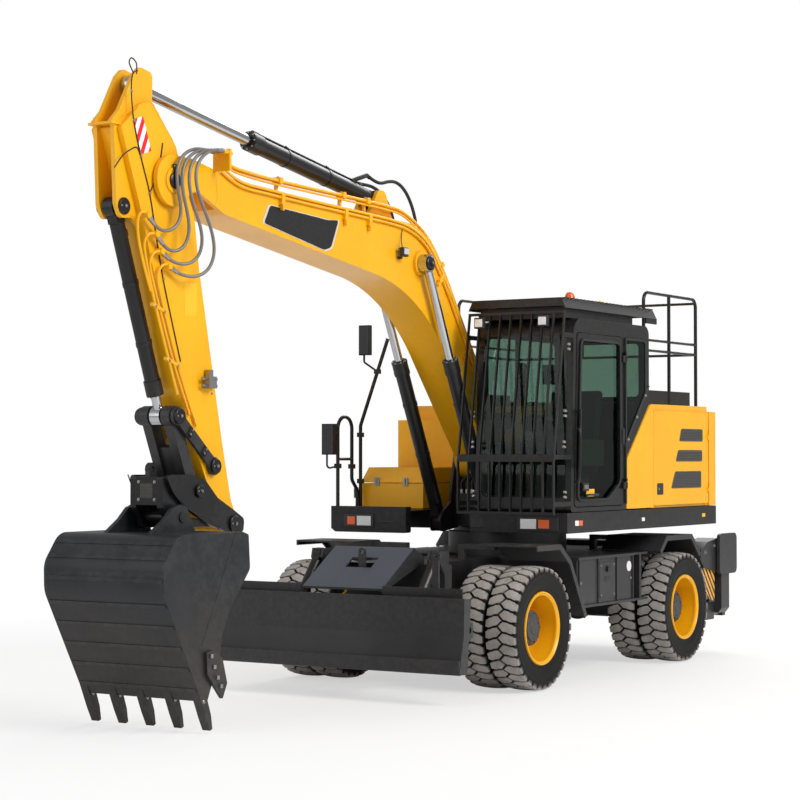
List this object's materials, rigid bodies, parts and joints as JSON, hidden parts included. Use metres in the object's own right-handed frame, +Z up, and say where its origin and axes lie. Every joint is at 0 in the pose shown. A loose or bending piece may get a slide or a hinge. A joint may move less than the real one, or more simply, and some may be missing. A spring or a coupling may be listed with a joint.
{
  "type": "wheeled excavator",
  "caption": "Wheeled excavator with twin tyres, slewing cab and hood, boom, arm and toothed bucket, front blade and rear outriggers.",
  "frame": {"origin": "on the ground under the middle of the whole machine as parked", "axes": "+X forward along the boom, +Y to the machine's left, +Z up"},
  "size_m": [8.55, 2.589, 4.8315],
  "materials": {
    "yellow_paint": "gloss",
    "black_paint": "satin",
    "grey_paint": "satin",
    "steel": "satin",
    "chrome": "mirror",
    "tyre": "matte",
    "glass": "clear",
    "black_plastic": "matte",
    "lamp": "gloss",
    "hose": "matte",
    "seat": "matte"
  },
  "bodies": {
    "chassis": {"chassis_frame": "grey_paint", "fenders": "black_paint", "front_axle": "grey_paint", "rear_axle": "grey_paint"},
    "left_steering": {"left_knuckle": "grey_paint"},
    "right_steering": {"right_knuckle": "grey_paint"},
    "blade": {"blade": "grey_paint", "blade_eyes": "grey_paint"},
    "blade_barrels": {"blade_barrels": "black_paint"},
    "blade_rods": {"blade_rods": "chrome"},
    "left_outrigger": {"left_outrigger": "grey_paint"},
    "right_outrigger": {"right_outrigger": "grey_paint"},
    "superstructure": {"turntable": "black_paint", "counterweight": "yellow_paint", "engine_hood": "yellow_paint", "engine": "steel", "tank": "yellow_paint", "tool_box": "yellow_paint", "left_front_panel": "yellow_paint", "cab_frame": "black_paint", "cab_glass": "glass", "seat": "seat", "steering_column": "black_plastic", "front_guard": "black_paint", "roof_visor": "black_plastic", "lamps": "lamp", "roof_rails": "black_paint", "step_rail": "black_paint", "right_mirror": "black_plastic"},
    "cab_door": {"cab_door": "black_paint", "door_glass": "glass"},
    "left_hood_door": {"left_hood_door": "yellow_paint"},
    "right_hood_door": {"right_hood_door": "yellow_paint"},
    "tool_box_lid": {"tool_box_lid": "yellow_paint"},
    "boom": {"boom": "yellow_paint", "first_hose": "hose", "second_hose": "hose", "third_hose": "hose", "fourth_hose": "hose", "long_ram_hose": "hose", "short_ram_hose": "hose"},
    "boom_barrels": {"boom_barrels": "black_paint"},
    "boom_rods": {"boom_rods": "chrome"},
    "arm": {"arm": "yellow_paint"},
    "arm_barrel": {"arm_barrel": "black_paint"},
    "arm_rod": {"arm_rod": "chrome"},
    "bucket_barrel": {"bucket_barrel": "black_paint"},
    "bucket_rod": {"bucket_rod": "chrome"},
    "side_links": {"side_links": "steel"},
    "bucket_link": {"bucket_link": "steel"},
    "bucket": {"coupler": "steel", "bucket": "steel"},
    "front_left_wheels": {"front_left_tyres": "tyre", "front_left_wheel": "yellow_paint"},
    "front_right_wheels": {"front_right_tyres": "tyre", "front_right_wheel": "yellow_paint"},
    "rear_left_wheels": {"rear_left_tyres": "tyre", "rear_left_wheel": "yellow_paint"},
    "rear_right_wheels": {"rear_right_tyres": "tyre", "rear_right_wheel": "yellow_paint"}
  },
  "joints": [
    {"name": "left_steer", "type": "hinge", "parent": "chassis", "child": "left_steering", "pos_m": [0.03, 0.61, 0.53], "axis": [0, 0, 1], "range_deg": [-25, 25]},
    {"name": "right_steer", "type": "hinge", "parent": "chassis", "child": "right_steering", "pos_m": [0.03, -0.61, 0.53], "axis": [0, 0, 1], "range_deg": [-25, 25]},
    {"name": "front_left_roll", "type": "hinge", "parent": "left_steering", "child": "front_left_wheels", "pos_m": [0.03, 0.955, 0.53], "axis": [0, 1, 0], "continuous": true},
    {"name": "front_right_roll", "type": "hinge", "parent": "right_steering", "child": "front_right_wheels", "pos_m": [0.03, -0.955, 0.53], "axis": [0, 1, 0], "continuous": true},
    {"name": "rear_left_roll", "type": "hinge", "parent": "chassis", "child": "rear_left_wheels", "pos_m": [-2.92, 0.955, 0.53], "axis": [0, 1, 0], "continuous": true},
    {"name": "rear_right_roll", "type": "hinge", "parent": "chassis", "child": "rear_right_wheels", "pos_m": [-2.92, -0.955, 0.53], "axis": [0, 1, 0], "continuous": true},
    {"name": "blade_lift", "type": "hinge", "parent": "chassis", "child": "blade", "pos_m": [0.635, 0, 0.55], "axis": [0, -1, 0], "range_deg": [-29, 12]},
    {"name": "blade_ram_swing", "type": "hinge", "parent": "chassis", "child": "blade_barrels", "pos_m": [0.705, 0, 1.15], "axis": [0, -1, 0], "range_deg": [-11.34, 4.98]},
    {"name": "blade_ram_slide", "type": "slide", "parent": "blade_barrels", "child": "blade_rods", "axis": [0.6266, 0, -0.7794], "range_m": [-0.0896, 0.2093]},
    {"name": "left_outrigger_fold", "type": "hinge", "parent": "chassis", "child": "left_outrigger", "pos_m": [-4.055, 1.03, 0.43], "axis": [-1, 0, 0], "range_deg": [0, 108]},
    {"name": "right_outrigger_fold", "type": "hinge", "parent": "chassis", "child": "right_outrigger", "pos_m": [-4.055, -1.03, 0.43], "axis": [1, 0, 0], "range_deg": [0, 108]},
    {"name": "slew", "type": "hinge", "parent": "chassis", "child": "superstructure", "pos_m": [-1.595, 0, 1.3], "axis": [0, 0, 1], "continuous": true},
    {"name": "cab_door_swing", "type": "hinge", "parent": "superstructure", "child": "cab_door", "pos_m": [-1.573, 1.262, 2.3], "axis": [0, 0, 1], "range_deg": [0, 165]},
    {"name": "left_hood_door_swing", "type": "hinge", "parent": "superstructure", "child": "left_hood_door", "pos_m": [-3.507, 1.246, 2], "axis": [0, 0, 1], "range_deg": [0, 110]},
    {"name": "right_hood_door_swing", "type": "hinge", "parent": "superstructure", "child": "right_hood_door", "pos_m": [-3.507, -1.246, 2], "axis": [0, 0, -1], "range_deg": [0, 110]},
    {"name": "tool_box_lid_lift", "type": "hinge", "parent": "superstructure", "child": "tool_box_lid", "pos_m": [-1.573, -0.877, 1.878], "axis": [0, -1, 0], "range_deg": [0, 75]},
    {"name": "boom_lift", "type": "hinge", "parent": "superstructure", "child": "boom", "pos_m": [-1.245, -0.08, 1.97], "axis": [0, -1, 0], "range_deg": [-55, 22]},
    {"name": "boom_ram_swing", "type": "hinge", "parent": "superstructure", "child": "boom_barrels", "pos_m": [-0.931, -0.08, 1.38], "axis": [0, -1, 0], "range_deg": [-50.34, 20.44]},
    {"name": "boom_ram_slide", "type": "slide", "parent": "boom_barrels", "child": "boom_rods", "axis": [0.44, 0, 0.898], "range_m": [-0.5679, 0.2302]},
    {"name": "arm_swing", "type": "hinge", "parent": "boom", "child": "arm", "pos_m": [3.665, -0.08, 4.028], "axis": [0, 1, 0], "range_deg": [-88, 15], "deforming": ["first_hose", "second_hose", "third_hose", "fourth_hose"]},
    {"name": "arm_ram_swing", "type": "hinge", "parent": "boom", "child": "arm_barrel", "pos_m": [0.647, -0.08, 4.21], "axis": [0, 1, 0], "range_deg": [-1.2, 4.63], "deforming": ["long_ram_hose", "short_ram_hose"]},
    {"name": "arm_ram_slide", "type": "slide", "parent": "arm_barrel", "child": "arm_rod", "axis": [0.9885, 0, 0.1515], "range_m": [-1.0571, 0.1843]},
    {"name": "bucket_curl", "type": "hinge", "parent": "arm", "child": "bucket", "pos_m": [2.905, -0.08, 1.485], "axis": [0, 1, 0], "range_deg": [-3, 145]},
    {"name": "side_link_swing", "type": "hinge", "parent": "arm", "child": "side_links", "pos_m": [3.134, -0.08, 1.924], "axis": [0, 1, 0], "range_deg": [-3.17, 129.55]},
    {"name": "bucket_link_swing", "type": "hinge", "parent": "side_links", "child": "bucket_link", "pos_m": [3.577, -0.08, 2.296], "axis": [0, 1, 0], "range_deg": [-99.1, 2.54]},
    {"name": "bucket_ram_swing", "type": "hinge", "parent": "arm", "child": "bucket_barrel", "pos_m": [4.122, -0.08, 3.8], "axis": [0, 1, 0], "range_deg": [-3.78, 0.57]},
    {"name": "bucket_ram_slide", "type": "slide", "parent": "bucket_barrel", "child": "bucket_rod", "axis": [-0.3407, 0, -0.9402], "range_m": [-0.027, 1.0704]}
  ],
  "couplings": [
    {"joint": "right_steer", "follows": "left_steer", "ratio": 1},
    {"joint": "blade_ram_swing", "follows": "blade_lift", "ratio": 0.3737},
    {"joint": "blade_ram_slide", "follows": "blade_lift", "m_per_rad": -0.4037},
    {"joint": "boom_ram_swing", "follows": "boom_lift", "ratio": 0.9062},
    {"joint": "boom_ram_slide", "follows": "boom_lift", "m_per_rad": 0.5864},
    {"joint": "arm_ram_swing", "follows": "arm_swing", "ratio": -0.0469},
    {"joint": "arm_ram_slide", "follows": "arm_swing", "m_per_rad": 0.685},
    {"joint": "side_link_swing", "follows": "bucket_curl", "ratio": 0.89},
    {"joint": "bucket_link_swing", "follows": "bucket_curl", "ratio": -0.68},
    {"joint": "bucket_ram_swing", "follows": "bucket_curl", "ratio": -0.0226},
    {"joint": "bucket_ram_slide", "follows": "bucket_curl", "m_per_rad": 0.421}
  ]
}
